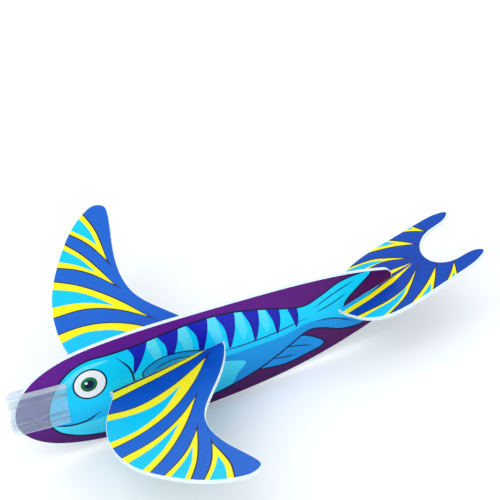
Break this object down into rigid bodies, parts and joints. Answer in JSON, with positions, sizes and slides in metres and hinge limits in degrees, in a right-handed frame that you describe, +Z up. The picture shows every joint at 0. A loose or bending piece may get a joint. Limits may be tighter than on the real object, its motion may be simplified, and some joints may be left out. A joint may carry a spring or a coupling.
{
  "type": "foam hand glider",
  "caption": "Toy hand-launch glider shaped as a fish: upright foam body plate, one bent wing sheet, forked tailplane and a clear nose sleeve.",
  "frame": {"origin": "middle of the glider's footprint in X and Y, at the height of the lowest point of the belly", "axes": "+X runs aft from the nose to the tail, +Y to the starboard wing tip, +Z up"},
  "size_m": [0.224, 0.2226, 0.0532],
  "materials": {
    "printed_foam_body": "satin",
    "printed_foam_wing": "satin",
    "printed_foam_tail": "satin",
    "clear_plastic": "gloss"
  },
  "bodies": {
    "fuselage": {"fuselage": "printed_foam_body"},
    "wing": {"wing": "printed_foam_wing"},
    "tailplane": {"tailplane": "printed_foam_tail"},
    "nose_cap": {"nose_cap": "clear_plastic"}
  },
  "joints": [
    {"name": "wing_centring", "type": "slide", "parent": "fuselage", "child": "wing", "axis": [0, 1, 0], "range_m": [-0.002, 0.002]},
    {"name": "tailplane_slide", "type": "slide", "parent": "fuselage", "child": "tailplane", "axis": [0.9703, 0, 0.2419], "range_m": [0, 0.032]},
    {"name": "nose_cap_slide", "type": "slide", "parent": "fuselage", "child": "nose_cap", "axis": [-0.9903, 0, 0.1392], "range_m": [0, 0.028]}
  ]
}
